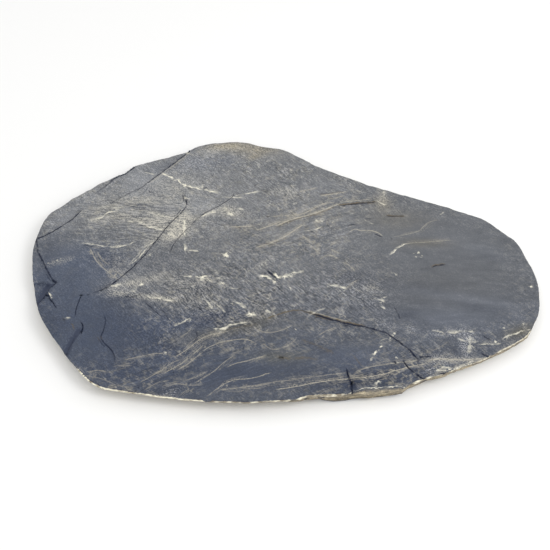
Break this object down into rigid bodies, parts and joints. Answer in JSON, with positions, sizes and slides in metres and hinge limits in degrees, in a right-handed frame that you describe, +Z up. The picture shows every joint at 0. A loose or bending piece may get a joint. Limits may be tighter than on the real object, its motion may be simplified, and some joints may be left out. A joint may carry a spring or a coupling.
{
  "type": "slate slab",
  "caption": "Flat irregular slab of split slate with a riven upper face, a ragged edge and an undercut side, to lie on the ground as paving, a step or a ledge.",
  "frame": {"origin": "the middle of the slab's box, at the bottom, on the flat that it lies on", "axes": "+X along the length towards the rounded nose, +Y across it towards the long straight back edge, +Z up out of the riven face"},
  "size_m": [1.215, 0.8572, 0.0368],
  "materials": {
    "slate": "riven, dry, matt with a slight sheen"
  },
  "bodies": {
    "root": {"slate_slab": "slate"}
  },
  "joints": []
}
